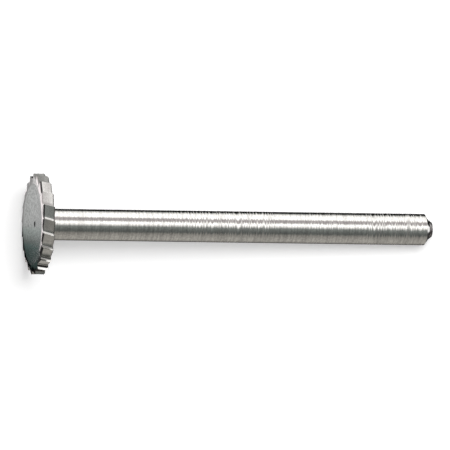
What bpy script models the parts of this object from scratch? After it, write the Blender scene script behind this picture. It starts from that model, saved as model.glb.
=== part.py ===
"""Slotting cutter for a handheld rotary tool: a toothed disc head and a plain shank, one bar of steel.

The cutter is lofted from its front face to the nose of its shank, through a row of sections that
all have the same number of points. The sections of the head follow the saw-toothed outline, the
others are circles. The finished cutter is then laid down as the real one comes to rest: on two
tooth tips at the back of the head and on the far corner of the shank.
"""

import math

import bmesh
import bpy
from mathutils import Matrix, Vector

MM = 0.001

# Shank
SHANK_DIAMETER = 3.175 * MM
OVERALL_LENGTH = 41.53 * MM  # flat land on the head's front to the end of the nose
FILLET_RADIUS = 0.3 * MM  # between the back of the head and the shank
CHAMFER_LENGTH = 0.4 * MM  # along the shank, at its far end
NOSE_DIAMETER = 2.1 * MM  # small parting stub past the chamfer, at its foot
NOSE_LENGTH = 0.39 * MM
NOSE_TIP_DIAMETER = 1.5 * MM
NOSE_EDGE_RADIUS = 0.1 * MM

# Head
HEAD_DIAMETER = 10.2 * MM  # over the tooth tips
HEAD_THICKNESS = 1.23 * MM  # from the front land to the back face
TOOTH_COUNT = 21
TOOTH_DEPTH = 0.5 * MM
TOOTH_SKEW = math.radians(15.0)  # of the cutting edges to the axis, right-handed
GULLET_RADIUS = 0.24 * MM
FRONT_RELIEF = 0.08 * MM  # how far the front falls back from the flat land to the tooth tips
LAND_DIAMETER = 8.2 * MM  # over the narrow flat ring between the dish and the relieved rim
LAND_WIDTH = 0.12 * MM
BACK_BEVEL = 0.14 * MM  # on the teeth's back corners
RIM_MARGIN = 0.25 * MM  # flat strip inside the gullets, on the back
SIDE_RELIEF = 0.24 * MM  # how far both faces are dished inside their flat strips
CENTRE_MARK_DIAMETER = 0.6 * MM
CENTRE_MARK_ANGLE = math.radians(60.0)  # the included angle of the centre drill

# Facets
BACK_POINTS = 2  # on the back of each tooth, after its tip
GULLET_STEPS = 3
FILLET_STEPS = 5
NOSE_STEPS = 3
DISH_STEPS = 5
SHARP_ANGLE = math.radians(25.0)

TIP_RADIUS = HEAD_DIAMETER / 2
ROOT_RADIUS = TIP_RADIUS - TOOTH_DEPTH
LAND_RADIUS = LAND_DIAMETER / 2
RELIEF_SLOPE = FRONT_RELIEF / (TIP_RADIUS - LAND_RADIUS)
SHANK_RADIUS = SHANK_DIAMETER / 2
TOOTH_PITCH = 2 * math.pi / TOOTH_COUNT
CORNER_HEIGHT = OVERALL_LENGTH - NOSE_LENGTH - CHAMFER_LENGTH


def polar(radius, angle):
    """Point at this radius and angle round the axis, in a plane across it."""
    return Vector((radius * math.cos(angle), radius * math.sin(angle)))


def arc(centre, radius, start, end, steps):
    """Points along an arc from one angle to another, both ends among them."""
    return [centre + polar(radius, start + (end - start) * i / steps) for i in range(steps + 1)]


def gullet_arc(corner, towards_back, towards_face, radius):
    """The rounded bottom of a gullet, from the tooth's back round to the next cutting face."""
    half = towards_back.angle(towards_face) / 2
    middle = (towards_back + towards_face).normalized()
    centre = corner + middle * radius / math.sin(half)
    on_back = corner + towards_back * radius / math.tan(half) - centre
    on_face = corner + towards_face * radius / math.tan(half) - centre
    start = math.atan2(on_back.y, on_back.x)
    turn = math.remainder(math.atan2(on_face.y, on_face.x) - start, 2 * math.pi)
    return arc(centre, radius, start, start + turn, GULLET_STEPS)


def tooth_outline():
    """One tooth seen from the shank: its tip, its straight back and the gullet behind it."""
    tip = polar(TIP_RADIUS, 0)
    corner = polar(ROOT_RADIUS, TOOTH_PITCH)
    towards_back = (tip - corner).normalized()
    towards_face = polar(1, TOOTH_PITCH)
    gullet = gullet_arc(corner, towards_back, towards_face, GULLET_RADIUS)
    back = [tip.lerp(gullet[0], i / (BACK_POINTS + 1)) for i in range(BACK_POINTS + 1)]
    return back + gullet


def twist(height):
    """How far the skewed teeth have turned round the axis at this height above the front face."""
    return min(height, HEAD_THICKNESS) * math.tan(TOOTH_SKEW) / TIP_RADIUS


def toothed_section(height, inset=0.0, slant=0.0):
    """The head's outline, drawn in by inset, and lower by slant for each metre inside the tips."""
    points = []
    for tooth in range(TOOTH_COUNT):
        for point in tooth_outline():
            level = height - slant * (TIP_RADIUS - point.length)
            angle = math.atan2(point.y, point.x) + tooth * TOOTH_PITCH + twist(level)
            points.append((*polar(point.length - inset, angle), level))
    return points


def round_section(height, radius):
    """A circle with as many points as a toothed section."""
    count = TOOTH_COUNT * len(tooth_outline())
    turn = twist(height)
    return [(*polar(radius, turn + 2 * math.pi * i / count), height) for i in range(count)]


def front_sections():
    """The front: the hollow dish round the centre mark, the flat land and the relieved rim."""
    mark = CENTRE_MARK_DIAMETER / 2
    dish = LAND_RADIUS - LAND_WIDTH
    radii = [mark + (dish - mark) * i / DISH_STEPS for i in range(DISH_STEPS + 1)]
    hollow = [round_section(SIDE_RELIEF * (1 - (radius / dish) ** 2), radius) for radius in radii]
    land = round_section(0, LAND_RADIUS)
    return hollow + [land, toothed_section(FRONT_RELIEF, slant=RELIEF_SLOPE)]


def rim_sections():
    """The teeth up to the bevel at their back, and the flat strip inside it."""
    margin = ROOT_RADIUS - BACK_BEVEL - RIM_MARGIN
    return [
        toothed_section(HEAD_THICKNESS - BACK_BEVEL),
        toothed_section(HEAD_THICKNESS, BACK_BEVEL),
        round_section(HEAD_THICKNESS, margin),
    ]


def shank_sections():
    """The fillet behind the head, the shank, its end chamfer and its nose."""
    face = HEAD_THICKNESS - SIDE_RELIEF
    fillet_centre = Vector((SHANK_RADIUS + FILLET_RADIUS, face + FILLET_RADIUS))
    fillet = arc(fillet_centre, FILLET_RADIUS, -math.pi / 2, -math.pi, FILLET_STEPS)
    nose_foot = OVERALL_LENGTH - NOSE_LENGTH
    edge_centre = Vector((NOSE_TIP_DIAMETER / 2 - NOSE_EDGE_RADIUS, OVERALL_LENGTH - NOSE_EDGE_RADIUS))
    edge = arc(edge_centre, NOSE_EDGE_RADIUS, 0, math.pi / 2, NOSE_STEPS)
    corner = [Vector((SHANK_RADIUS, CORNER_HEIGHT)), Vector((NOSE_DIAMETER / 2, nose_foot))]
    return [round_section(height, radius) for radius, height in fillet + corner + edge]


def loft(bm, sections):
    """Joins each section to the next with a band of faces, and returns the first and last loops."""
    loops = [[bm.verts.new(point) for point in section] for section in sections]
    for near, far in zip(loops, loops[1:]):
        for i in range(len(near)):
            bm.faces.new((near[i - 1], near[i], far[i], far[i - 1]))
    return loops[0], loops[-1]


def cutter_mesh():
    """The whole cutter as one closed skin, with its axis on +Z and its front face at the bottom."""
    bm = bmesh.new()
    mark_rim, nose_rim = loft(bm, front_sections() + rim_sections() + shank_sections())
    mark_depth = CENTRE_MARK_DIAMETER / 2 / math.tan(CENTRE_MARK_ANGLE / 2)
    mark_point = bm.verts.new((0, 0, SIDE_RELIEF + mark_depth))
    for i in range(len(mark_rim)):
        bm.faces.new((mark_rim[i], mark_rim[i - 1], mark_point))
    bm.faces.new(nose_rim)
    bmesh.ops.recalc_face_normals(bm, faces=bm.faces)
    mesh = bpy.data.meshes.new("cutter")
    bm.to_mesh(mesh)
    bm.free()
    mesh.shade_smooth()
    mesh.set_sharp_from_angle(angle=SHARP_ANGLE)
    return mesh


def resting_turn():
    """Turns the cutter from its own axis to where it lies, two tooth tips down, shank along +X."""
    contact = HEAD_THICKNESS - BACK_BEVEL
    tips_radius = TIP_RADIUS * math.cos(TOOTH_PITCH / 2)
    slope = math.atan2(tips_radius - SHANK_RADIUS, CORNER_HEIGHT - contact)
    between_tips = TOOTH_PITCH / 2 + twist(contact)
    return Matrix.Rotation(math.pi / 2 + slope, 4, "Y") @ Matrix.Rotation(-between_tips, 4, "Z")


def place_at_rest(cutter):
    """Lays the cutter on the plane z = 0 with the middle of its box over the origin."""
    turn = resting_turn()
    corners = [turn @ vertex.co for vertex in cutter.data.vertices]
    low = Vector(min(corner[axis] for corner in corners) for axis in range(3))
    high = Vector(max(corner[axis] for corner in corners) for axis in range(3))
    cutter.rotation_euler = turn.to_euler()
    cutter.location = (-(low.x + high.x) / 2, -(low.y + high.y) / 2, -low.z)


def bright_steel():
    """Ground tool steel, a warm light grey."""
    material = bpy.data.materials.new("bright_steel")
    material.use_nodes = True
    shader = material.node_tree.nodes["Principled BSDF"]
    shader.inputs["Base Color"].default_value = (0.52, 0.51, 0.48, 1.0)
    shader.inputs["Metallic"].default_value = 1.0
    shader.inputs["Roughness"].default_value = 0.32
    return material


def main():
    for leftover in list(bpy.data.objects):
        bpy.data.objects.remove(leftover)
    cutter = bpy.data.objects.new("cutter", cutter_mesh())
    cutter.data.materials.append(bright_steel())
    bpy.context.scene.collection.objects.link(cutter)
    place_at_rest(cutter)


main()
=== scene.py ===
"""Looks of a slotting cutter for a handheld rotary tool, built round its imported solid.

The cutter is one piece of bright tool steel: a thin saw-toothed disc on a plain shank. One slice
of it, a single tooth wide, is modelled from the centre mark to the nose. Geometry Nodes repeat that
slice round the axis into the whole cutter, and each machined surface gets its own finish.
"""

import logging
import math
from dataclasses import dataclass, field
from enum import Enum
from typing import Any, Callable

import bpy
from mathutils import Matrix, Vector


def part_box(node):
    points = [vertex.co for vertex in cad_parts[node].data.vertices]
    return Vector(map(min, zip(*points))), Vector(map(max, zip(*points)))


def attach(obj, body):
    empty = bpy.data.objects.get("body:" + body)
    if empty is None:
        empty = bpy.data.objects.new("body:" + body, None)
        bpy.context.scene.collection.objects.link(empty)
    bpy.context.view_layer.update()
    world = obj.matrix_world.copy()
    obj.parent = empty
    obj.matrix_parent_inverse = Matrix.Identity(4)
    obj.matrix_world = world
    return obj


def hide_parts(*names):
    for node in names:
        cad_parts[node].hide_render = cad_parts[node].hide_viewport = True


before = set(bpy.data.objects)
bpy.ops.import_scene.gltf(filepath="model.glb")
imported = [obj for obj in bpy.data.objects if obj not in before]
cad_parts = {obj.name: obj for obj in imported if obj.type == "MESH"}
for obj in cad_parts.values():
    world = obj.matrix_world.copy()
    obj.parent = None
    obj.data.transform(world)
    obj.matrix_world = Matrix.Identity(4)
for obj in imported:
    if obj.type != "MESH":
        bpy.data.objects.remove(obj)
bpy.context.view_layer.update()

MM = 0.001
BODY = "root"
NODE = "cutter"

Socket = bpy.types.NodeSocket
log = logging.getLogger("cutter")


class Zone(Enum):
    """The machined surfaces of the cutter, each with its own finish."""

    MARK = 0
    FACE = 1
    LAND = 2
    RELIEF = 3
    BACK = 4
    CUTTING = 5
    BEVEL = 6
    SHANK = 7
    CHAMFER = 8
    END = 9


class Wiring:
    """Adds nodes to one tree and joins their sockets."""

    def __init__(self, tree: bpy.types.NodeTree) -> None:
        """Args: tree: the tree that the nodes go into."""
        self.tree = tree

    def add(self, kind: str, inputs: dict[Any, Any] | None = None, **settings: Any) -> bpy.types.Node:
        """Adds one node.

        Args:
            kind: the node's type name.
            inputs: input names or indices, each with a value or with the socket that feeds it.
            settings: the node's own properties.

        Returns:
            The new node.
        """
        node = self.tree.nodes.new(kind)
        for name, value in settings.items():
            setattr(node, name, value)
        for name, value in (inputs or {}).items():
            self.feed(node.inputs[name], value)
        return node

    def feed(self, socket: Socket, value: Any) -> None:
        """Sets a socket to a plain value, or links it to the socket given as its value."""
        if isinstance(value, Socket):
            self.tree.links.new(value, socket)
        else:
            socket.default_value = value

    def math(self, operation: str, *values: Any, clamp: bool = False) -> Socket:
        """One Math node. Args: operation, its values, and whether it clamps. Returns: its output."""
        node = self.add("ShaderNodeMath", dict(enumerate(values)), operation=operation, use_clamp=clamp)
        return node.outputs[0]

    def blend(self, share: Any, low: Any, high: Any) -> Socket:
        """Mixes two numbers. Args: share of the second, the first, the second. Returns: the mix."""
        return self.add("ShaderNodeMix", {0: share, 2: low, 3: high}).outputs[0]

    def tint(self, share: Any, low: Any, high: Any) -> Socket:
        """Mixes two colours. Args: share of the second, the first, the second. Returns: the mix."""
        return self.add("ShaderNodeMix", {0: share, 6: low, 7: high}, data_type="RGBA").outputs[2]

    def combine(self, x: Any, y: Any, z: Any) -> Socket:
        """Joins three numbers. Args: x, y and z. Returns: the vector."""
        return self.add("ShaderNodeCombineXYZ", {0: x, 1: y, 2: z}).outputs[0]

    def ramp(self, share: Any, stops: list[tuple[float, tuple[float, ...]]],
             stepped: bool = False) -> Socket:
        """A colour ramp.

        Args:
            share: the place along the ramp, from 0 to 1.
            stops: each stop's place and its colour.
            stepped: whether each colour holds as far as the next stop.

        Returns:
            The colour.
        """
        node = self.add("ShaderNodeValToRGB", {0: share})
        if stepped:
            node.color_ramp.interpolation = "CONSTANT"
        elements = node.color_ramp.elements
        for k, (place, colour) in enumerate(stops):
            element = elements[k] if k < 2 else elements.new(place)
            element.position = place
            element.color = (*colour, 1.0)
        return node.outputs[0]

    def curve(self, value: Any, stops: tuple[tuple[float, float], ...]) -> Socket:
        """A number read off a line of straight stretches.

        Args:
            value: the number that the line is read at.
            stops: the line's corners, each a value and its result from 0 to 1.

        Returns:
            The result.
        """
        start, end = stops[0][0], stops[-1][0]
        corners = [((place - start) / (end - start), (result,) * 3) for place, result in stops]
        return self.ramp(self.spread(value, start, end), corners)

    def pick(self, index: Any, results: list[float]) -> Socket:
        """Picks a number from a row. Args: its place in it, from 0, and the row. Returns: the number."""
        count = len(results)
        share = self.math("DIVIDE", self.math("ADD", index, 0.5), float(count))
        return self.ramp(share, [(k / count, (result,) * 3) for k, result in enumerate(results)], True)

    def group(self, tree: bpy.types.NodeTree, inputs: dict[str, Any]) -> Any:
        """One node of a node group. Args: the group and its inputs by name. Returns: its outputs."""
        return self.add("ShaderNodeGroup", inputs, node_tree=tree).outputs

    def own_place(self) -> list[Socket]:
        """Returns: where a point is in its own object, as x, y and z in metres."""
        place = self.add("ShaderNodeTexCoord").outputs["Object"]
        return list(self.add("ShaderNodeSeparateXYZ", {0: place}).outputs)

    def vector(self, operation: str, output: int = 0, **inputs: Any) -> Socket:
        """One Vector Math node. Args: operation, output number, inputs a, b, scale. Returns: a socket."""
        sockets = {{"a": 0, "b": 1, "scale": "Scale"}[name]: value for name, value in inputs.items()}
        return self.add("ShaderNodeVectorMath", sockets, operation=operation).outputs[output]

    def noise(self, vector: Any, scale: float, detail: float = 2.0, rough: float = 0.5) -> Socket:
        """Fractal noise. Args: where it is read, its scale, octaves and roughness. Returns: 0 to 1."""
        inputs = {"Vector": vector, "Scale": scale, "Detail": detail, "Roughness": rough}
        return self.add("ShaderNodeTexNoise", inputs).outputs[0]

    def spread(self, value: Any, low: float, high: float,
               to_low: float = 0.0, to_high: float = 1.0) -> Socket:
        """Maps one range to another and clamps it. Args: value and both ranges. Returns: the result."""
        inputs = {"Value": value, "From Min": low, "From Max": high, "To Min": to_low, "To Max": to_high}
        return self.add("ShaderNodeMapRange", inputs, clamp=True).outputs[0]


def new_group(name: str, inputs: dict[str, float],
              outputs: list[str]) -> tuple[bpy.types.NodeTree, Wiring, Any, Any]:
    """A shader node group with number inputs and outputs.

    Args:
        name: the group's name.
        inputs: each input's name and default.
        outputs: the outputs' names.

    Returns:
        The group, its wiring, its input node and its output node.
    """
    tree = bpy.data.node_groups.new(name, "ShaderNodeTree")
    for label, value in inputs.items():
        socket = tree.interface.new_socket(label, in_out="INPUT", socket_type="NodeSocketFloat")
        socket.default_value = value
    for label in outputs:
        tree.interface.new_socket(label, in_out="OUTPUT", socket_type="NodeSocketFloat")
    wiring = Wiring(tree)
    return tree, wiring, wiring.add("NodeGroupInput").outputs, wiring.add("NodeGroupOutput")


def put_in_scene(name: str, data: bpy.types.ID) -> bpy.types.Object:
    """Args: a name, and a mesh, lamp or camera. Returns: its object, put in the scene."""
    made = bpy.data.objects.new(name, data)
    bpy.context.scene.collection.objects.link(made)
    return made


@dataclass(frozen=True)
class CutterSizes:
    """The real sizes of the cutter, in metres and radians, the same as in its solid."""

    shank_diameter: float = 3.175 * MM
    overall_length: float = 41.53 * MM
    fillet_radius: float = 0.3 * MM
    chamfer_length: float = 0.4 * MM
    nose_diameter: float = 2.1 * MM
    nose_length: float = 0.39 * MM
    nose_tip_diameter: float = 1.5 * MM
    nose_edge_radius: float = 0.1 * MM
    head_diameter: float = 10.2 * MM
    head_thickness: float = 1.23 * MM
    tooth_count: int = 21
    tooth_depth: float = 0.5 * MM
    tooth_skew: float = math.radians(15.0)
    gullet_radius: float = 0.24 * MM
    front_relief: float = 0.08 * MM
    back_bevel: float = 0.14 * MM
    land_diameter: float = 8.2 * MM
    land_width: float = 0.12 * MM
    rim_margin: float = 0.25 * MM
    side_relief: float = 0.24 * MM
    mark_diameter: float = 0.6 * MM
    mark_angle: float = math.radians(60.0)

    @property
    def tip_radius(self) -> float:
        """Radius over the tooth tips."""
        return self.head_diameter / 2

    @property
    def root_radius(self) -> float:
        """Radius at the bottom of the gullets."""
        return self.tip_radius - self.tooth_depth

    @property
    def land_radius(self) -> float:
        """Outer radius of the flat land on the front face, where the teeth's relief starts."""
        return self.land_diameter / 2

    @property
    def relief_slope(self) -> float:
        """How steeply the front falls back from its land out to the tooth tips."""
        return self.front_relief / (self.tip_radius - self.land_radius)

    @property
    def shank_radius(self) -> float:
        """Radius of the plain shank."""
        return self.shank_diameter / 2

    @property
    def mark_depth(self) -> float:
        """Depth of the centre mark, below the middle of the dish."""
        return self.mark_diameter / 2 / math.tan(self.mark_angle / 2)

    @property
    def pitch(self) -> float:
        """Angle from one tooth to the next."""
        return 2 * math.pi / self.tooth_count

    @property
    def corner_height(self) -> float:
        """Where the shank's end chamfer starts, from the front face."""
        return self.overall_length - self.nose_length - self.chamfer_length

    @property
    def rest_slope(self) -> float:
        """How far the axis dips where the cutter lies on two tooth tips and the end of its shank."""
        rise = self.tip_radius * math.cos(self.pitch / 2) - self.shank_radius
        return math.atan2(rise, self.corner_height - self.head_thickness + self.back_bevel)

    def twist(self, height: float) -> float:
        """Turn of the skewed teeth. Args: height above the front face. Returns: an angle."""
        return min(height, self.head_thickness) * math.tan(self.tooth_skew) / self.tip_radius

    def rest_turn(self) -> Matrix:
        """Returns: the turn from the cutter's own axis, +Z, to where it lies along +X."""
        between_tips = self.pitch / 2 + self.twist(self.head_thickness - self.back_bevel)
        lay = Matrix.Rotation(math.pi / 2 + self.rest_slope, 4, "Y")
        return lay @ Matrix.Rotation(-between_tips, 4, "Z")


def polar(radius: float, angle: float) -> Vector:
    """Point in a plane. Args: radius and angle. Returns: the point."""
    return Vector((radius * math.cos(angle), radius * math.sin(angle)))


def arc(centre: Vector, radius: float, start: float, end: float, steps: int) -> list[Vector]:
    """Points along an arc.

    Args:
        centre: the arc's centre.
        radius: its radius.
        start: the angle where it starts.
        end: the angle where it ends.
        steps: how many stretches it is cut into.

    Returns:
        The points, both ends among them.
    """
    return [centre + polar(radius, start + (end - start) * i / steps) for i in range(steps + 1)]


def corner_arc(before: Vector, corner: Vector, after: Vector, radius: float, steps: int) -> list[Vector]:
    """Rounds one corner of an outline.

    Args:
        before: the point before the corner.
        corner: the corner itself.
        after: the point after it.
        radius: the radius of the round.
        steps: how many stretches the round has.

    Returns:
        The points that take the corner's place.
    """
    back, ahead = (before - corner).normalized(), (after - corner).normalized()
    half = back.angle(ahead) / 2
    centre = corner + (back + ahead).normalized() * radius / math.sin(half)
    first = corner + back * radius / math.tan(half) - centre
    last = corner + ahead * radius / math.tan(half) - centre
    start = math.atan2(first.y, first.x)
    turn = math.remainder(math.atan2(last.y, last.x) - start, 2 * math.pi)
    return arc(centre, radius, start, start + turn, steps)


@dataclass(frozen=True)
class Section:
    """One cross-section of the slice, as a row of points one tooth wide.

    A toothed section follows the tooth outline, drawn in by reach, and lies slant lower for each
    metre that its point is inside the tips. Any other is a circle with reach for its radius. The
    zone is that of the band before it.
    """

    height: float
    reach: float
    zone: Zone
    toothed: bool = False
    slant: float = 0.0


@dataclass
class ToothedHead:
    """The disc: its centre mark, its dished faces, its bevels and its skewed teeth."""

    sizes: CutterSizes
    edge_radius: float = 0.055 * MM
    back_points: int = 6
    gullet_steps: int = 6
    rake_points: int = 3
    rim_rows: int = 4
    dish_rows: int = 8
    mark_rows: int = 3

    def tooth_outline(self) -> tuple[list[Vector], list[Zone]]:
        """One tooth from its tip over its back and gullet up to the next tip.

        Returns:
            The points, both tips among them, and the zone of the stretch after each.
        """
        s = self.sizes
        tip = polar(s.tip_radius, 0)
        corner = polar(s.root_radius, s.pitch)
        next_tip = polar(s.tip_radius, s.pitch)
        gullet = corner_arc(tip, corner, next_tip, s.gullet_radius, self.gullet_steps)
        back = [tip.lerp(gullet[0], i / self.back_points) for i in range(self.back_points)]
        rake = [gullet[-1].lerp(next_tip, i / self.rake_points) for i in range(1, self.rake_points + 1)]
        zones = [Zone.BACK] * (len(back) + self.gullet_steps // 2)
        zones += [Zone.CUTTING] * (len(back) + len(gullet) + len(rake) - 1 - len(zones))
        return back + gullet + rake, zones

    def rounded_rim(self) -> list[Section]:
        """Returns: the toothed sections, from the relieved front over the teeth to the back face."""
        s = self.sizes
        thick, bevel = s.head_thickness, s.back_bevel
        path = [Vector(p) for p in ((0, s.tip_radius - s.land_radius), (s.front_relief, 0),
                                    (thick - bevel, 0), (thick, bevel), (thick, bevel + s.rim_margin))]
        sections: list[Section] = []
        for i, zone in enumerate((Zone.RELIEF, Zone.BACK, Zone.BEVEL), start=1):
            bend = corner_arc(path[i - 1], path[i], path[i + 1], self.edge_radius, 2)
            if zone is Zone.BACK:
                front_edge = Vector((sections[-1].height, sections[-1].reach))
                for row in range(1, self.rim_rows):
                    middle = front_edge.lerp(bend[0], row / self.rim_rows)
                    slant = s.relief_slope * (1 - row / self.rim_rows)
                    sections.append(Section(middle.x, middle.y, zone, True, slant))
            slant = s.relief_slope if zone is Zone.RELIEF else 0.0
            after = Zone.BACK if zone is Zone.RELIEF else Zone.BEVEL
            sections += [Section(p.x, p.y, zone if k == 0 else after, True, slant)
                         for k, p in enumerate(bend)]
        return sections

    def front(self) -> list[Section]:
        """Returns: the sections from the edge of the centre mark out to the land's outer edge."""
        s = self.sizes
        mark_radius = s.mark_diameter / 2
        inner = s.land_radius - s.land_width
        shares = [i / self.mark_rows for i in range(1, self.mark_rows + 1)]
        rows = [Section(s.side_relief + s.mark_depth * (1 - share), mark_radius * share, Zone.MARK)
                for share in shares]
        for i in range(1, self.dish_rows + 1):
            share = i / self.dish_rows
            radius = mark_radius + (inner - mark_radius) * share
            rows.append(Section(s.side_relief * (1 - (radius / inner) ** 2), radius, Zone.FACE))
        return rows + [Section(0.0, s.land_radius, Zone.LAND)]

    def back(self) -> list[Section]:
        """Returns: the sections from the back's flat strip in to the start of the fillet."""
        s = self.sizes
        margin = s.root_radius - s.back_bevel - s.rim_margin
        foot = s.shank_radius + s.fillet_radius
        return [Section(s.head_thickness - s.side_relief * i / self.dish_rows,
                        margin + (foot - margin) * i / self.dish_rows, Zone.FACE)
                for i in range(self.dish_rows)]


@dataclass
class Shank:
    """The plain shank: its fillet, its end chamfer and its nose."""

    sizes: CutterSizes
    fillet_steps: int = 8
    edge_radius: float = 0.05 * MM
    edge_steps: int = 3
    rows: int = 60

    def sections(self) -> list[Section]:
        """Returns: the sections from the fillet behind the head to the edge of the nose."""
        s = self.sizes
        face = s.head_thickness - s.side_relief
        centre = Vector((face + s.fillet_radius, s.shank_radius + s.fillet_radius))
        fillet = arc(centre, s.fillet_radius, -math.pi, -math.pi / 2, self.fillet_steps)
        rows = [Section(p.x, p.y, Zone.SHANK) for p in fillet]
        foot = s.overall_length - s.nose_length
        path = [Vector(p) for p in (
            (fillet[-1].x, s.shank_radius), (s.corner_height, s.shank_radius),
            (foot, s.nose_diameter / 2), (s.overall_length, s.nose_tip_diameter / 2),
            (s.overall_length, 0))]
        zones = (Zone.SHANK, Zone.CHAMFER, Zone.END, Zone.END)
        radii = (self.edge_radius, self.edge_radius, s.nose_edge_radius)
        for i, radius in enumerate(radii, start=1):
            bend = corner_arc(path[i - 1], path[i], path[i + 1], radius, self.edge_steps)
            if i == 1:
                start = Vector((rows[-1].height, rows[-1].reach))
                rows += [Section(*start.lerp(bend[0], k / self.rows), Zone.SHANK)
                         for k in range(1, self.rows)]
            rows += [Section(p.x, p.y, zones[i - 1 if k == 0 else i]) for k, p in enumerate(bend)]
        return rows


@dataclass(frozen=True)
class Tooth:
    """How one tooth was ground.

    The lean is that of its back, off true, and the rake that of the cutting face past its gullet, both
    in degrees. From 0 to 1, the tone is how dull the tooth is, and the gullet how much painted shade is
    left in it. The rim is how far such painted shade reaches behind the front edge, in millimetres.
    """

    lean: float = 0.0
    rake: float = 9.0
    tone: float = 0.5
    gullet: float = 0.2
    rim: float = 0.0


TEETH = (
    Tooth(),
    Tooth(tone=0.3),
    Tooth(lean=1.0),
    Tooth(tone=0.7),
    Tooth(lean=-2.0),
    Tooth(lean=3.0),
    Tooth(lean=2.0, tone=0.9, gullet=0.7),
    Tooth(lean=-15.8, tone=0.9, gullet=0.5),
    Tooth(lean=-1.0, tone=0.4, rim=0.24),
    Tooth(lean=-4.5, gullet=0.0),
    Tooth(lean=3.5, rake=0.0, tone=0.4, gullet=0.0, rim=0.17),
    Tooth(lean=8.0, rake=18.0, tone=0.4, gullet=0.0),
    Tooth(lean=1.1, gullet=0.7),
    Tooth(tone=0.9, gullet=0.6, rim=0.13),
    Tooth(lean=-13.0, rake=15.0, tone=0.0, gullet=0.95),
    Tooth(rake=20.0, tone=1.0, gullet=0.9, rim=0.17),
    Tooth(rake=22.0, tone=1.0, gullet=0.9, rim=0.17),
    Tooth(tone=0.8),
    Tooth(lean=2.0),
    Tooth(tone=0.2),
    Tooth(lean=-1.0),
)
MOST_LEAN = 30.0  # in degrees, the most that a tooth's lean or rake can be
LATE_COUNT = 0.25  # the share of a pitch by which cutting faces and gullets count to their tooth
GULLET_RISE = (0.61, 0.65)  # where the painted gullet shade starts, as shares of the pitch counted late
GULLET_FALL = (0.735, 0.745)  # and where it ends
SHADE_SOFTNESS = 0.02  # how softly painted shade ends, in millimetres
# The colour of painted shade in the gullets and behind the teeth's front edges.
PAINTED_TOOTH_SHADE = (0.02, 0.02, 0.02, 1.0)
# The colour of the painted shade line in the crease at the nose's foot.
DARK_LINE = (0.015, 0.015, 0.015, 1.0)

# How much of its swing the chatter has, by the distance from the front in millimetres.
CHATTER_STRETCHES = (
    (0.0, 0.15), (9.0, 0.18), (14.0, 0.40), (16.0, 0.85), (24.5, 0.85), (25.5, 0.28), (28.0, 0.30),
    (29.0, 0.75), (31.0, 0.75), (32.0, 0.32), (34.0, 0.38), (35.0, 1.0), (41.0, 1.0))
CHATTER_WANDER = (0.9, 4.0)  # the rings stray from their even pitch: the noise's scale, and turns
CHATTER_PATCHES = 2.5  # scale of the noise that makes some rings stronger
CHATTER_STRENGTH = (0.3, 0.7, 0.1, 1.6)  # that noise from and to, and the strength from and to
CHATTER_DULLING = 0.26  # how much rougher the darkest rings are
CHATTER_DARK = (-0.2, 0.9)  # where in a ring's wave it starts to darken, and is darkest
CHATTER_FAINT = (0.1, 1.1)  # the strength at which a ring isn't dark, and is fully so
MARKS_FINER = 3.7  # how much finer the second noise of the tool marks is than the first
MARKS_SHARES = (0.4, 0.35)  # that noise's share in the marks' height, and in how dull they are
MARKS_DULLING = (0.38, 0.62)  # the noise at which the marks are clean, and dull
GRAIN_DULLING = (0.4, 0.6)  # the noise at which the grain is clean, and dull
RIM_SHADE_DARKNESS = 0.95  # how dark the painted shade behind a front edge is


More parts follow.
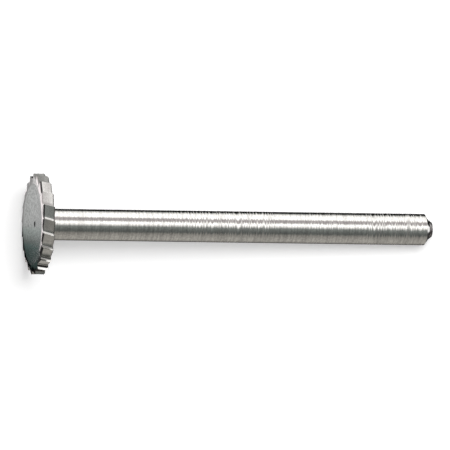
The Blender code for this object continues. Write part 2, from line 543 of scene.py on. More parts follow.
@dataclass(frozen=True)
class ShaderGroups:
    """The node groups that several finishes share."""

    place: bpy.types.NodeTree
    rings: bpy.types.NodeTree
    grain: bpy.types.NodeTree
    chatter: bpy.types.NodeTree
    teeth: bpy.types.NodeTree
    sway: bpy.types.NodeTree

    @classmethod
    def build(cls, sizes: CutterSizes, location: Vector) -> "ShaderGroups":
        """Args: the cutter's sizes, and where its front centre lies. Returns: the groups."""
        turn = sizes.rest_turn()
        axis = turn @ Vector((0.0, 0.0, 1.0))
        return cls(cls.place_group(turn, location), cls.ring_group(), cls.grain_group(),
                   cls.chatter_group(), cls.tooth_group(sizes), cls.sway_group(axis))

    @staticmethod
    def place_group(turn: Matrix, location: Vector) -> bpy.types.NodeTree:
        """Where a point is on the cutter: its height along the axis and its place across it, in mm."""
        tree, w, _, out = new_group("cutter_place", {}, ["Along", "Across X", "Across Y", "Radius", "Turn"])
        inputs = {"Vector": w.add("ShaderNodeTexCoord").outputs["Object"], "Location": location,
                  "Rotation": turn.to_euler()}
        own = w.add("ShaderNodeMapping", inputs, vector_type="TEXTURE").outputs[0]
        x, y, z = (w.math("MULTIPLY", s, 1 / MM) for s in w.add("ShaderNodeSeparateXYZ", {0: own}).outputs)
        squares = w.math("ADD", w.math("MULTIPLY", x, x), w.math("MULTIPLY", y, y))
        w.feed(out.inputs["Along"], z)
        w.feed(out.inputs["Across X"], x)
        w.feed(out.inputs["Across Y"], y)
        w.feed(out.inputs["Radius"], w.math("SQRT", squares))
        w.feed(out.inputs["Turn"], w.math("ARCTAN2", y, x))
        return tree

    @staticmethod
    def ring_group() -> bpy.types.NodeTree:
        """Marks that a tool leaves round a turned or ground surface, uneven along and round it."""
        tree, w, given, out = new_group(
            "ring_marks", {"Position": 0.0, "Across X": 0.0, "Across Y": 0.0, "Pitch": 0.35, "Drift": 0.1},
            ["Height", "Mask"])
        turns = w.math("DIVIDE", given["Position"], given["Pitch"])
        side_x = w.math("MULTIPLY", given["Across X"], given["Drift"])
        side_y = w.math("MULTIPLY", given["Across Y"], given["Drift"])
        where = w.combine(turns, side_x, side_y)
        coarse = w.noise(where, 1.0, 1.0)
        fine = w.noise(where, MARKS_FINER, 2.0, 0.6)
        in_height, in_dullness = MARKS_SHARES
        w.feed(out.inputs["Height"], w.blend(in_height, coarse, fine))
        w.feed(out.inputs["Mask"], w.spread(w.blend(in_dullness, coarse, fine), *MARKS_DULLING))
        return tree

    @staticmethod
    def grain_group() -> bpy.types.NodeTree:
        """A fine even grain, as abrasive or lapping leaves it."""
        tree, w, given, out = new_group(
            "fine_grain", {"Along": 0.0, "Across X": 0.0, "Across Y": 0.0, "Scale": 8.0},
            ["Height", "Mask"])
        where = w.combine(given["Along"], given["Across X"], given["Across Y"])
        node = w.add("ShaderNodeTexNoise", {"Vector": where, "Scale": given["Scale"], "Detail": 3.0})
        w.feed(out.inputs["Height"], node.outputs[0])
        w.feed(out.inputs["Mask"], w.spread(node.outputs[0], *GRAIN_DULLING))
        return tree

    @staticmethod
    def chatter_group() -> bpy.types.NodeTree:
        """Narrow rings as a chattering tool leaves them: each dulls the steel and faces to one side.

        The rings sway by about Swing, in radians, and strongly only in three stretches of the shank.
        """
        tree, w, given, out = new_group(
            "chatter", {"Along": 0.0, "Across X": 0.0, "Across Y": 0.0, "Pitch": 0.31, "Around": 0.06,
                        "Swing": 0.0}, ["Sway", "Mask"])
        side_x = w.math("MULTIPLY", given["Across X"], given["Around"])
        side_y = w.math("MULTIPLY", given["Across Y"], given["Around"])
        wander_scale, wander_turns = CHATTER_WANDER
        drift = w.noise(w.combine(given["Along"], side_x, side_y), wander_scale, 1.0)
        even = w.math("DIVIDE", given["Along"], given["Pitch"])
        turns = w.math("ADD", even, w.math("MULTIPLY", drift, wander_turns))
        wave = w.math("SINE", w.math("MULTIPLY", turns, 2 * math.pi))
        patches = w.noise(w.combine(given["Along"], side_y, side_x), CHATTER_PATCHES, 1.0)
        strength = w.spread(patches, *CHATTER_STRENGTH)
        stretch = w.curve(given["Along"], CHATTER_STRETCHES)
        swing = w.math("MULTIPLY", stretch, given["Swing"])
        w.feed(out.inputs["Sway"], w.math("MULTIPLY", w.math("MULTIPLY", wave, strength), swing))
        dark = w.math("MULTIPLY", w.spread(wave, *CHATTER_DARK), w.spread(strength, *CHATTER_FAINT))
        w.feed(out.inputs["Mask"], w.math("MULTIPLY", dark, stretch))
        return tree

    @staticmethod
    def tooth_group(sizes: CutterSizes) -> bpy.types.NodeTree:
        """How each tooth differs from the next, as the table of teeth has it.

        Shift is the share of a pitch by which the teeth are counted late.
        """
        tree, w, given, out = new_group("tooth_by_tooth", {"Along": 0.0, "Turn": 0.0, "Shift": 0.0},
                                        ["Lean", "Rake", "Tone", "Shade"])
        skew = w.math("MULTIPLY", given["Along"], math.tan(sizes.tooth_skew) / sizes.tip_radius * MM)
        teeth = w.math("DIVIDE", w.math("SUBTRACT", given["Turn"], skew), sizes.pitch)
        share = w.math("FLOORED_MODULO", w.math("SUBTRACT", teeth, LATE_COUNT), 1.0)
        teeth = w.math("SUBTRACT", teeth, given["Shift"])
        index = w.math("FLOOR", w.math("FLOORED_MODULO", teeth, float(sizes.tooth_count)))
        for name, degrees in (("Lean", [t.lean for t in TEETH]), ("Rake", [t.rake for t in TEETH])):
            chosen = w.pick(index, [0.5 + angle / MOST_LEAN / 2 for angle in degrees])
            most = math.radians(MOST_LEAN)
            w.feed(out.inputs[name], w.spread(chosen, 0.0, 1.0, -most, most))
        w.feed(out.inputs["Tone"], w.pick(index, [t.tone for t in TEETH]))
        # Shade is painted shade: dark in each gullet, and behind the front edges of some teeth.
        in_gullet = w.math("MULTIPLY", w.spread(share, *GULLET_RISE),
                           w.spread(share, *GULLET_FALL, 1.0, 0.0))
        gullet = w.math("MULTIPLY", in_gullet, w.pick(index, [t.gullet for t in TEETH]))
        past_rim = w.math("SUBTRACT", given["Along"], w.pick(index, [t.rim for t in TEETH]))
        rim = w.spread(past_rim, -SHADE_SOFTNESS, SHADE_SOFTNESS, RIM_SHADE_DARKNESS, 0.0)
        w.feed(out.inputs["Shade"], w.math("MAXIMUM", gullet, rim))
        return tree

    @staticmethod
    def sway_group(axis: Vector) -> bpy.types.NodeTree:
        """The surface's normal, turned about the cutter's axis by Sway, in radians."""
        tree, w, given, out = new_group("sway", {"Sway": 0.0}, [])
        tree.interface.new_socket("Normal", in_out="OUTPUT", socket_type="NodeSocketVector")
        own = w.add("ShaderNodeNewGeometry").outputs["Normal"]
        aside = w.vector("CROSS_PRODUCT", a=axis, b=own)
        turned = w.vector("ADD", a=own, b=w.vector("SCALE", a=aside, scale=given["Sway"]))
        w.feed(out.inputs["Normal"], w.vector("NORMALIZE", a=turned))
        return tree


@dataclass(frozen=True)
class SteelFinish:
    """Bright tool steel with one machining finish.

    The marks run round the axis: they repeat along the shank, or outwards over a face. Their pitch
    and depth are in millimetres, as is the grain's depth, and their drift is how much they change
    round the axis. The two roughnesses are those of clean and of dull steel. The grain and the
    teeth each have a share from 0 to 1 in where it is dull. Chatter is the swing of its rings, in
    radians, and the dark ring is where a line of painted shade, in the crease at the nose's foot,
    starts and ends along the axis, in millimetres.
    """

    name: str
    colour: tuple[float, float, float]
    dull_colour: tuple[float, float, float]
    roughness: tuple[float, float]
    mark_pitch: float
    mark_drift: float
    mark_depth: float
    grain_scale: float
    grain_depth: float
    marks_run_outwards: bool = False
    chatter: float = 0.0
    tooth_share: float = 0.0
    is_cutting_face: bool = False
    grain_share: float = 0.3
    dark_ring: tuple[float, float] | None = None

    def material(self, groups: ShaderGroups) -> bpy.types.Material:
        """Args: groups: the shared node groups. Returns: the finished material."""
        made = bpy.data.materials.new(self.name)
        made.use_nodes = True
        w = Wiring(made.node_tree)
        shader = made.node_tree.nodes["Principled BSDF"]
        place = w.add("ShaderNodeGroup", node_tree=groups.place).outputs
        position = place["Radius"] if self.marks_run_outwards else place["Along"]
        across = {"Across X": place["Across X"], "Across Y": place["Across Y"]}
        rings = w.group(groups.rings, {"Position": position, "Pitch": self.mark_pitch,
                                       "Drift": self.mark_drift, **across})
        grain = w.group(groups.grain, {"Along": place["Along"], "Scale": self.grain_scale, **across})
        uneven = w.blend(self.grain_share, rings["Mask"], grain["Mask"])
        if self.tooth_share:
            teeth = w.group(groups.teeth, {"Along": place["Along"], "Turn": place["Turn"],
                                           "Shift": LATE_COUNT if self.is_cutting_face else 0.0})
            uneven = w.blend(self.tooth_share, uneven, teeth["Tone"])
        colour = w.tint(uneven, (*self.colour, 1.0), (*self.dull_colour, 1.0))
        roughness = w.spread(uneven, 0.0, 1.0, *self.roughness)
        turn = None
        # The dark ring is painted shade in the crease where the nose meets the chamfer.
        if self.dark_ring:
            start, end = self.dark_ring
            ring = w.math("MULTIPLY", w.spread(place["Along"], start, start + SHADE_SOFTNESS),
                          w.spread(place["Along"], end, end + SHADE_SOFTNESS, 1.0, 0.0))
            colour = w.tint(ring, colour, DARK_LINE)
        if self.tooth_share:
            # Painted shade in the gullets and behind front edges.
            colour = w.tint(teeth["Shade"], colour, PAINTED_TOOTH_SHADE)
            turn = teeth["Rake" if self.is_cutting_face else "Lean"]
        if self.chatter:
            chatter = w.group(groups.chatter, {"Along": place["Along"], "Swing": self.chatter, **across})
            roughness = w.math("ADD", roughness, w.math("MULTIPLY", chatter["Mask"], CHATTER_DULLING))
            turn = chatter["Sway"]
        w.feed(shader.inputs["Base Color"], colour)
        w.feed(shader.inputs["Roughness"], roughness)
        shader.inputs["Metallic"].default_value = 1.0
        height = w.math("ADD", w.math("MULTIPLY", rings["Height"], self.mark_depth),
                        w.math("MULTIPLY", grain["Height"], self.grain_depth))
        bump = w.add("ShaderNodeBump", {"Height": height, "Distance": MM, "Strength": 1.0})
        if turn is not None:
            w.feed(bump.inputs["Normal"], w.group(groups.sway, {"Sway": turn})["Normal"])
        w.feed(shader.inputs["Normal"], bump.outputs[0])
        return made


FINISHES: dict[Zone, SteelFinish] = {
    # The centre mark's near-black colour is painted shade in its drilled hollow.
    Zone.MARK: SteelFinish("drilled_mark", (0.03, 0.03, 0.03), (0.02, 0.02, 0.02), (0.4, 0.5),
                           0.1, 0.1, 0.002, 8.0, 0.001),
    Zone.FACE: SteelFinish("faced_steel", (0.55, 0.56, 0.55), (0.33, 0.34, 0.33), (0.20, 0.32),
                           0.25, 0.6, 0.0006, 4.0, 0.0012, True, grain_share=0.65),
    Zone.LAND: SteelFinish("land_steel", (0.40, 0.40, 0.39), (0.30, 0.30, 0.29), (0.28, 0.38),
                           0.12, 0.3, 0.0006, 9.0, 0.0010, True),
    Zone.RELIEF: SteelFinish("relieved_steel", (0.62, 0.60, 0.59), (0.50, 0.48, 0.47), (0.07, 0.13),
                             0.12, 0.3, 0.0006, 5.0, 0.0010, True),
    Zone.BEVEL: SteelFinish("bevelled_steel", (0.46, 0.45, 0.43), (0.36, 0.35, 0.34), (0.22, 0.34),
                            0.1, 0.3, 0.0005, 9.0, 0.0008),
    Zone.BACK: SteelFinish("milled_steel", (0.63, 0.62, 0.60), (0.43, 0.42, 0.40), (0.17, 0.27),
                           0.3, 0.5, 0.0008, 4.5, 0.0010, tooth_share=0.5, grain_share=0.6),
    Zone.CUTTING: SteelFinish("cutting_steel", (0.60, 0.59, 0.57), (0.46, 0.45, 0.43), (0.16, 0.26),
                              0.3, 0.3, 0.0006, 9.0, 0.0008, tooth_share=0.5, is_cutting_face=True),
    Zone.SHANK: SteelFinish("turned_steel", (0.66, 0.65, 0.62), (0.42, 0.41, 0.395), (0.05, 0.14),
                            0.22, 0.2, 0.0008, 4.5, 0.0006, chatter=0.065, grain_share=0.4),
    Zone.CHAMFER: SteelFinish("chamfered_steel", (0.82, 0.81, 0.79), (0.70, 0.69, 0.67), (0.05, 0.10),
                              0.12, 0.2, 0.0006, 8.0, 0.0006, dark_ring=(41.06, 41.4)),
    Zone.END: SteelFinish("parted_steel", (0.50, 0.48, 0.47), (0.38, 0.36, 0.36), (0.20, 0.34),
                          0.12, 0.2, 0.002, 8.0, 0.001),
}


@dataclass
class Cutter:
    """The whole cutter: head and shank as one skin, repeated from one slice by Geometry Nodes."""

    sizes: CutterSizes = field(default_factory=CutterSizes)
    weld: float = 0.0001 * MM
    sharp_angle: float = math.radians(28.0)

    def __post_init__(self) -> None:
        """Makes the two sub-assemblies from the shared sizes."""
        self.head = ToothedHead(self.sizes)
        self.shank = Shank(self.sizes)

    def row(self, section: Section, outline: list[Vector]) -> list[Vector]:
        """Args: a section and the tooth outline. Returns: the section's points, one tooth wide."""
        s = self.sizes
        last = len(outline) - 1
        points = []
        for i, point in enumerate(outline):
            if section.toothed:
                height = section.height - section.slant * (s.tip_radius - point.length)
                flat = polar(point.length - section.reach, math.atan2(point.y, point.x) + s.twist(height))
            else:
                height = section.height
                flat = polar(section.reach, s.pitch * i / last + s.twist(height))
            points.append(Vector((flat.x, flat.y, height)))
        return points

    def slice_mesh(self) -> bpy.types.Mesh:
        """Returns: one tooth's width of the whole skin, with the zone of each face."""
        outline, stretches = self.head.tooth_outline()
        sections = self.head.front() + self.head.rounded_rim() + self.head.back() + self.shank.sections()
        rows = [self.row(section, outline) for section in sections]
        width = len(outline)
        points = [point for row in rows for point in row]
        faces, zones = [], []
        for r, section in enumerate(sections[1:], start=1):
            for c, stretch in enumerate(stretches):
                a, b = (r - 1) * width + c, r * width + c
                faces.append((a, b, b + 1, a + 1))
                zones.append(self.zone_of(section, sections[r - 1], stretch))
        points += [Vector((0, 0, self.sizes.side_relief + self.sizes.mark_depth)),
                   Vector((0, 0, self.sizes.overall_length))]
        last_row = (len(rows) - 1) * width
        for c in range(width - 1):
            faces += [(len(points) - 2, c, c + 1), (last_row + c, len(points) - 1, last_row + c + 1)]
            zones += [Zone.MARK, Zone.END]
        mesh = bpy.data.meshes.new("cutter_slice")
        mesh.from_pydata(points, [], faces)
        mesh.attributes.new("zone", "INT", "FACE").data.foreach_set("value", [zone.value for zone in zones])
        return mesh

    @staticmethod
    def zone_of(section: Section, before: Section, stretch: Zone) -> Zone:
        """The zone of one face.

        Args:
            section: the section that the face runs to.
            before: the section that it comes from.
            stretch: the zone of its stretch of the tooth outline.

        Returns:
            The zone. A cutting face keeps its own on the bevels too.
        """
        if not (section.toothed and before.toothed):
            return section.zone
        if stretch is Zone.CUTTING and section.zone in (Zone.BACK, Zone.BEVEL):
            return Zone.CUTTING
        return section.zone

    def repeat_tree(self, zones: list[Zone]) -> bpy.types.NodeTree:
        """Geometry Nodes that repeat a slice round the axis, weld it and give out its finishes.

        Args:
            zones: the zones that get a material input, in order.

        Returns:
            The tree. Its inputs are the slice, the tooth count, the weld distance and a finish for
            each zone.
        """
        tree = bpy.data.node_groups.new("cutter_from_slice", "GeometryNodeTree")
        tree.interface.new_socket("Slice", in_out="INPUT", socket_type="NodeSocketGeometry")
        tree.interface.new_socket("Tooth Count", in_out="INPUT", socket_type="NodeSocketInt")
        tree.interface.new_socket("Weld Distance", in_out="INPUT", socket_type="NodeSocketFloat")
        for zone in zones:
            tree.interface.new_socket(zone.name, in_out="INPUT", socket_type="NodeSocketMaterial")
        tree.interface.new_socket("Cutter", in_out="OUTPUT", socket_type="NodeSocketGeometry")
        w = Wiring(tree)
        given = w.add("NodeGroupInput").outputs
        step = w.math("DIVIDE", 2 * math.pi, given["Tooth Count"])
        turn = w.combine(0.0, 0.0, w.math("MULTIPLY", step, w.add("GeometryNodeInputIndex").outputs[0]))
        places = w.add("GeometryNodePoints", {"Count": given["Tooth Count"]})
        copies = w.add("GeometryNodeInstanceOnPoints", {
            "Points": places.outputs[0], "Instance": given["Slice"], "Rotation": turn})
        real = w.add("GeometryNodeRealizeInstances", {0: copies.outputs[0]})
        inputs = {"Geometry": real.outputs[0], "Distance": given["Weld Distance"]}
        skin = w.add("GeometryNodeMergeByDistance", inputs).outputs[0]
        named = w.add("GeometryNodeInputNamedAttribute", {"Name": "zone"}, data_type="INT").outputs[0]
        for zone in zones:
            chosen = w.add("FunctionNodeCompare", {2: named, 3: zone.value},
                           data_type="INT", operation="EQUAL")
            inputs = {"Geometry": skin, "Selection": chosen.outputs[0], "Material": given[zone.name]}
            skin = w.add("GeometryNodeSetMaterial", inputs).outputs[0]
        w.add("NodeGroupOutput", {0: skin})
        return tree

    def whole_mesh(self, finishes: dict[Zone, bpy.types.Material]) -> bpy.types.Mesh:
        """Args: the finish of each zone. Returns: the cutter's closed skin round its own axis."""
        source = put_in_scene("cutter_slice", self.slice_mesh())
        tree = self.repeat_tree(list(finishes))
        sockets = {item.name: item.identifier for item in tree.interface.items_tree
                   if item.in_out == "INPUT"}
        repeat = source.modifiers.new("repeat", "NODES")
        repeat.node_group = tree
        repeat[sockets["Tooth Count"]] = self.sizes.tooth_count
        repeat[sockets["Weld Distance"]] = self.weld
        for zone, material in finishes.items():
            repeat[sockets[zone.name]] = material
        shaped = source.evaluated_get(bpy.context.evaluated_depsgraph_get())
        mesh = bpy.data.meshes.new_from_object(shaped)
        bpy.data.objects.remove(source)
        return mesh

    def lay(self, mesh: bpy.types.Mesh) -> Vector:
        """Lays the skin where the solid lies. Args: mesh: the skin. Returns: how far it was moved."""
        mesh.transform(self.sizes.rest_turn())
        low = Vector(min(v.co[axis] for v in mesh.vertices) for axis in range(3))
        high = Vector(max(v.co[axis] for v in mesh.vertices) for axis in range(3))
        cad_low, cad_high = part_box(NODE)
        shift = (cad_low + cad_high - low - high) / 2
        shift.z = cad_low.z - low.z
        mesh.transform(Matrix.Translation(shift))
        return shift

    def build(self) -> tuple[bpy.types.Object, Vector]:
        """Builds and dresses the cutter. Returns: its object, and where its front centre lies."""
        blanks = {zone: bpy.data.materials.new(zone.name) for zone in FINISHES}
        mesh = self.whole_mesh(blanks)
        location = self.lay(mesh)
        groups = ShaderGroups.build(self.sizes, location)
        finished = {blank.name: FINISHES[zone].material(groups) for zone, blank in blanks.items()}
        for i, material in enumerate(mesh.materials):
            if material is not None:
                mesh.materials[i] = finished[material.name]
        mesh.shade_smooth()
        mesh.set_sharp_from_angle(angle=self.sharp_angle)
        piece = put_in_scene("cutter_body", mesh)
        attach(piece, BODY)
        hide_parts(NODE)
        log.info("%s: %d faces", piece.name, len(mesh.polygons))
        return piece, location


@dataclass(frozen=True)
class PhotoCamera:
    """The photograph's camera: a long lens, looking down on the cutter."""

    distance: float = 1.4
    pixels_per_mm: float = 9.9
    picture_side: int = 450
    sensor_width: float = 36.0
    front_centre: tuple[float, float] = (32.41, 224.14)
    axis_slope: float = math.radians(0.80)
    head_turn: float = math.radians(14.1)
    roll: float = math.radians(86.7)
    clip: tuple[float, float] = (0.01, 5.0)

    def axes(self, rest_slope: float) -> Matrix:
        """Args: rest_slope: how far the axis dips. Returns: the camera's turn in the world."""
        across = math.cos(self.head_turn)
        axis = Vector((across * math.cos(self.axis_slope), -across * math.sin(self.axis_slope),
                       -math.sin(self.head_turn)))
        up = Vector((math.sin(self.axis_slope), math.cos(self.axis_slope), 0.0))
        near = axis.cross(up)
        top = up * math.cos(self.roll) + near * math.sin(self.roll)
        world_z = top * math.cos(rest_slope) - axis * math.sin(rest_slope)
        world_x = axis * math.cos(rest_slope) + top * math.sin(rest_slope)
        return Matrix((world_x, world_z.cross(world_x), world_z))

    def place(self, sizes: CutterSizes, front: Vector) -> bpy.types.Object:
        """Makes the camera.

        Args:
            sizes: the cutter's sizes.
            front: the middle of its front face.

        Returns:
            The camera, which is also made the scene's own.
        """
        turn = self.axes(sizes.rest_slope)
        middle = self.picture_side / 2
        behind = sizes.overall_length / 2 * math.sin(self.head_turn)
        spread = 1 - behind / self.distance
        right = (middle - self.front_centre[0]) / self.pixels_per_mm * MM * spread
        down = (middle - self.front_centre[1]) / self.pixels_per_mm * MM * spread
        data = bpy.data.cameras.new("photo_camera")
        data.sensor_width = self.sensor_width
        seen = self.picture_side / self.pixels_per_mm * MM
        data.lens = self.sensor_width * self.distance / seen
        data.clip_start, data.clip_end = self.clip
        camera = put_in_scene("photo_camera", data)
        offset = turn @ Vector((right, -down, self.distance - behind))
        camera.matrix_world = Matrix.LocRotScale(front + offset, turn, None)
        bpy.context.scene.camera = camera
        return camera


class Tint(Enum):
    """Slight colours that the reflectors take from the room round them."""

    PLAIN = (1.0, 1.0, 1.0)
    GREEN = (0.95, 1.03, 1.0)
    TEAL = (0.72, 1.09, 1.03)
    PINK = (1.03, 0.97, 0.99)
    WARM = (1.04, 1.01, 0.95)


@dataclass(frozen=True)
class Glow:
    """One stop of a reflector: its place along it, how bright it is there, and its tint."""

    place: float
    level: float
    tint: Tint = Tint.PLAIN


@dataclass(frozen=True)
class Reflector:
    """A card that only the steel shows, graded from stop to stop between two ends of its span."""

    name: str
    span: tuple[float, float]
    peak: float
    stops: tuple[Glow, ...]

    def material(self, measure: Callable[[Wiring], Socket],
                 shade: Callable[[Wiring], Socket] | None) -> bpy.types.Material:
        """The graded glow.

        Args:
            measure: wires up the place along the span.
            shade: wires up a share from 0 to 1 that dims the whole glow, or None.

        Returns:
            The material.
        """
        made = bpy.data.materials.new(self.name)
        made.use_nodes = True
        made.node_tree.nodes.clear()
        w = Wiring(made.node_tree)
        start, end = self.span
        stops = [((stop.place - start) / (end - start),
                  tuple(stop.level / self.peak * part for part in stop.tint.value)) for stop in self.stops]
        colour = w.ramp(w.spread(measure(w), start, end), stops)
        strength = w.math("MULTIPLY", shade(w), self.peak) if shade else self.peak
        light = w.add("ShaderNodeEmission", {"Color": colour, "Strength": strength})
        w.add("ShaderNodeOutputMaterial", {0: light.outputs[0]})
        return made

    def card(self, points: list[tuple[float, float, float]], faces: list[tuple[int, ...]],
             measure: Callable[[Wiring], Socket],
             shade: Callable[[Wiring], Socket] | None = None) -> bpy.types.Object:
        """Args: points, faces, measure and shade. Returns: a card seen in reflections only."""
        mesh = bpy.data.meshes.new(self.name)
        mesh.from_pydata(points, [], faces)
        mesh.materials.append(self.material(measure, shade))
        card = put_in_scene(self.name, mesh)
        card.visible_camera = card.visible_diffuse = card.visible_transmission = card.visible_shadow = False
        return card


# Round the cutter's axis, in degrees: 0 on its far side, 90 above it and 180 on its near side.
# Below 0 and past 180 it stands in for the table, which the steel doesn't see; its dim stretch from 232 to
# 267 is a painted shadow of the cutter on the table.
ROOM = Reflector("room_reflector", (-90.0, 270.0), 2.6, (
    Glow(-90.0, 0.9, Tint.PINK),
    Glow(-85.5, 1.6, Tint.PINK), Glow(-77.0, 1.6), Glow(-74.5, 0.02), Glow(-32.0, 0.02),
    Glow(-28.0, 0.30, Tint.GREEN), Glow(-22.5, 0.85), Glow(-17.0, 1.05), Glow(-5.0, 1.9),
    Glow(26.0, 2.2), Glow(33.0, 1.6), Glow(38.0, 0.72, Tint.PINK), Glow(47.0, 0.62, Tint.PINK),
    Glow(57.0, 0.66, Tint.PINK), Glow(64.0, 1.3), Glow(69.0, 2.3), Glow(79.0, 2.1), Glow(94.0, 0.90),
    Glow(101.0, 0.36, Tint.GREEN), Glow(123.0, 0.21, Tint.GREEN), Glow(139.0, 0.16, Tint.GREEN),
    Glow(156.0, 0.37, Tint.WARM), Glow(182.0, 0.50, Tint.WARM), Glow(206.0, 0.54, Tint.WARM),
    Glow(232.0, 0.40, Tint.WARM), Glow(241.0, 0.12, Tint.WARM), Glow(258.0, 0.04), Glow(267.4, 0.06),
    Glow(268.2, 0.32), Glow(269.2, 0.38), Glow(269.8, 0.9, Tint.PINK)))
# Low in front of the head, by the place across the cutter in metres. Its glow, dim and teal on the near
# side and dimmed further by the foot shade, is a painted shadow of the head on the table as the steel
# reflects it.
LOW_CARD = Reflector("low_reflector", (-0.006, 0.006), 2.6, (
    Glow(-0.006, 0.05, Tint.TEAL), Glow(-0.0031, 0.085, Tint.TEAL), Glow(-0.0026, 0.095, Tint.TEAL),
    Glow(-0.0022, 0.115, Tint.TEAL), Glow(-0.0018, 0.165, Tint.TEAL), Glow(-0.0013, 0.245, Tint.GREEN),
    Glow(-0.0009, 0.39, Tint.GREEN), Glow(-0.0002, 0.58, Tint.GREEN), Glow(0.0002, 0.66),
    Glow(0.0011, 0.74), Glow(0.0022, 0.82), Glow(0.006, 1.0)))
# Beyond the front of the head, by the place across the cutter in metres.
NEAR_WALL = Reflector("near_reflector", (-0.15, 0.15), 2.6, (
    Glow(-0.15, 1.0), Glow(0.0, 1.0), Glow(0.02, 1.4, Tint.PINK), Glow(0.15, 1.4, Tint.PINK)))
# Past the end of the shank, by the distance from the room's middle line in metres.
END_WALL = Reflector("end_reflector", (0.0, 0.15), 2.6, (
    Glow(0.0, 0.36, Tint.PINK), Glow(0.09, 0.42, Tint.PINK), Glow(0.112, 0.9), Glow(0.15, 1.5)))


@dataclass(frozen=True)
class Studio:
    """A pale table under soft light, in a room of reflectors that only the steel shows.

    Where a shade has four numbers, they are the places in metres where it starts and ends, and its
    share at each. The foot's lift has both places, and its share at the second.
    """

    floor_side: float = 4.0
    floor_colour: float = 0.80
    floor_lift: tuple[float, float] = (0.30, 0.66)
    floor_lift_from: tuple[float, float] = (0.15, 0.6)
    fill: float = 0.45
    lamp_place: tuple[float, float, float] = (0.025, 0.09, 0.34)
    lamp_side: float = 0.19
    lamp_watts: float = 0.9
    room_radius: float = 0.15
    room_ends: tuple[float, float] = (-0.11, 0.24)
    room_steps: int = 72
    low_card_ends: tuple[float, float] = (-24.0 * MM, -20.7 * MM)
    low_card_depth: float = 0.2 * MM
    low_card_steps: int = 24
    card_edge_curve: float = 16.8
    foot_curve: float = 48.0
    foot_lift: tuple[float, float, float] = (-1.2 * MM, 0.4 * MM, 0.42)
    end_wall_shade: tuple[float, float, float, float] = (-0.028, -0.008, 0.1, 1.0)
    wall_edge: tuple[float, float, float, float] = (0.075, 0.1005, 0.015, 1.0)
    wall_top: tuple[float, float, float, float] = (-0.075, -0.045, 0.0, 0.5)
    near_wall_shade: tuple[tuple[float, float], ...] = (
        (3.0 * MM, 0.03), (4.5 * MM, 0.14), (6.0 * MM, 0.5), (9.0 * MM, 0.9), (20.0 * MM, 1.0))
    # The painted contact shadow round the foot of the head, on the low card.
    foot_shade: tuple[tuple[float, float], ...] = (
        (-23.0 * MM, 1.0), (-21.8 * MM, 0.95), (-21.25 * MM, 0.7), (-21.1 * MM, 0.03), (-20.5 * MM, 0.03))

    def floor(self) -> bpy.types.Object:
        """Returns: the pale table top."""
        half = self.floor_side / 2
        mesh = bpy.data.meshes.new("table_top")
        corners = [(-half, -half, 0), (half, -half, 0), (half, half, 0), (-half, half, 0)]
        mesh.from_pydata(corners, [], [(0, 1, 2, 3)])
        mesh.materials.append(self.floor_material())
        table = put_in_scene("table_top", mesh)
        table.visible_glossy = False
        return table

    @staticmethod
    def seen_rays(w: Wiring) -> Socket:
        """Args: w: a tree's wiring. Returns: 1 for camera, glossy and transmission rays."""
        path = w.add("ShaderNodeLightPath").outputs
        seen = w.math("MAXIMUM", path["Is Camera Ray"], path["Is Glossy Ray"])
        return w.math("MAXIMUM", seen, path["Is Transmission Ray"])

    def floor_material(self) -> bpy.types.Material:
        """Returns: matt white, lifted to a white background for the eye, with its shadows kept."""
        made = bpy.data.materials.new("table_white")
        made.use_nodes = True
        w = Wiring(made.node_tree)
        shader = made.node_tree.nodes["Principled BSDF"]
        shader.inputs["Base Color"].default_value = (self.floor_colour,) * 3 + (1.0,)
        shader.inputs["Roughness"].default_value = 1.0
        shader.inputs["Specular IOR Level"].default_value = 0.0
        shader.inputs["Emission Color"].default_value = (1.0, 1.0, 1.0, 1.0)
        place = w.add("ShaderNodeTexCoord").outputs["Object"]
        away = w.vector("LENGTH", output=1, a=place)
        lift = w.spread(away, *self.floor_lift_from, *self.floor_lift)
        w.feed(shader.inputs["Emission Strength"], w.math("MULTIPLY", self.seen_rays(w), lift))
        return made

    def world(self) -> None:
        """Fills the room with even light, and shows it white."""
        world = bpy.data.worlds.new("studio")
        world.use_nodes = True
        w = Wiring(world.node_tree)
        backdrop = world.node_tree.nodes["Background"]
        backdrop.inputs["Color"].default_value = (1.0, 1.0, 1.0, 1.0)
        w.feed(backdrop.inputs["Strength"], w.blend(self.seen_rays(w), self.fill, 1.0))
        bpy.context.scene.world = world

    def lamp(self, name: str, place: Vector, side: float, watts: float) -> bpy.types.Object:
        """A square soft light aimed at the cutter.

        Args:
            name: the lamp's name.
            place: where it stands.
            side: how wide it is.
            watts: its power.

        Returns:
            The lamp.
        """
        data = bpy.data.lights.new(name, "AREA")
        data.size = side
        data.energy = watts
        lamp = put_in_scene(name, data)
        lamp.location = place
        lamp.rotation_euler = (-place).to_track_quat("-Z", "Y").to_euler()
        lamp.visible_glossy = False
        return lamp

    def room(self, axis_height: float) -> None:
        """Reflectors all round the cutter and past its shank. Args: axis_height: its axis's height."""
        def around(w: Wiring) -> Socket:
            """Args: w: a tree's wiring. Returns: the angle round the room, in degrees from -90."""
            _, y, z = w.own_place()
            angle = w.math("DEGREES", w.math("ARCTAN2", w.math("SUBTRACT", z, axis_height), y))
            return w.math("SUBTRACT", w.math("FLOORED_MODULO", w.math("ADD", angle, 90.0), 360.0), 90.0)

        def across(w: Wiring) -> Socket:
            """Args: w: a tree's wiring. Returns: the place across the cutter."""
            return w.own_place()[1]

        def outwards(w: Wiring) -> Socket:
            """Args: w: a tree's wiring. Returns: the distance from the room's middle line."""
            _, y, z = w.own_place()
            return w.vector("LENGTH", output=1, a=w.combine(0.0, y, w.math("SUBTRACT", z, axis_height)))

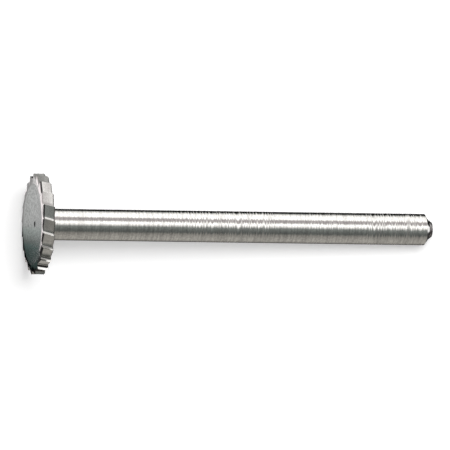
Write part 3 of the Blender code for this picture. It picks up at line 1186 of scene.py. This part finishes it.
        def away_from_foot(w: Wiring) -> Socket:
            """Args: w: a tree's wiring. Returns: the glow's share, least close to the foot of the head,
            most before it: a painted contact shadow.
            """
            x, y, _ = w.own_place()
            curved = w.math("ADD", x, w.math("MULTIPLY", w.math("MULTIPLY", y, y), self.foot_curve))
            low, high, lift = self.foot_lift
            lifted = w.math("MULTIPLY", w.spread(y, low, high), lift)
            return w.math("MAXIMUM", w.curve(curved, self.foot_shade), lifted)

        def low_and_far(w: Wiring) -> Socket:
            """Args: w: a tree's wiring. Returns: 1 at the far edge, half elsewhere, and little low down."""
            _, y, z = w.own_place()
            edge = w.spread(outwards(w), *self.wall_edge)
            low = w.math("MULTIPLY", edge, w.curve(y, self.near_wall_shade))
            return w.math("MAXIMUM", low, w.spread(z, *self.wall_top))

        def beyond(w: Wiring) -> Socket:
            """Args: w: a tree's wiring. Returns: 1 on the far side of the cutter, less on the near side."""
            return w.spread(across(w), *self.end_wall_shade)

        ring = [polar(self.room_radius, 2 * math.pi * i / self.room_steps) for i in range(self.room_steps)]
        near, far = self.room_ends
        points = [(x, p.x, axis_height + p.y) for p in ring for x in (near, far)]
        count = len(points)
        faces = [(i, i + 1, (i + 3) % count, (i + 2) % count) for i in range(0, count, 2)]
        ROOM.card(points, faces, around)
        left, right = self.low_card_ends
        back, front = LOW_CARD.span
        edge = [back + (front - back) * i / self.low_card_steps for i in range(self.low_card_steps + 1)]
        outline = [(right - self.card_edge_curve * y * y, y) for y in edge]
        outline += [(left, front), (left, back)]
        LOW_CARD.card([(x, y, -self.low_card_depth) for x, y in outline], [tuple(range(len(outline)))],
                      across, away_from_foot)
        whole = [tuple(range(self.room_steps))]
        NEAR_WALL.card([(near, p.x, axis_height + p.y) for p in ring], whole, across, low_and_far)
        END_WALL.card([(far, p.x, axis_height + p.y) for p in ring], whole, outwards, beyond)

    def build(self, axis_height: float) -> None:
        """Sets the stage. Args: axis_height: height of the cutter's axis above the table."""
        self.floor()
        self.world()
        self.lamp("key_light", Vector(self.lamp_place), self.lamp_side, self.lamp_watts)
        self.room(axis_height)
        log.info("studio: table, lamp and reflectors")


def main() -> None:
    """Builds the cutter, its camera and its studio."""
    logging.basicConfig(level=logging.INFO, format="%(name)s: %(message)s")
    cutter = Cutter()
    _, front = cutter.build()
    PhotoCamera().place(cutter.sizes, front)
    Studio().build(front.z / 2)
    bpy.context.scene.view_settings.view_transform = "Standard"


if __name__ == "__main__":
    main()
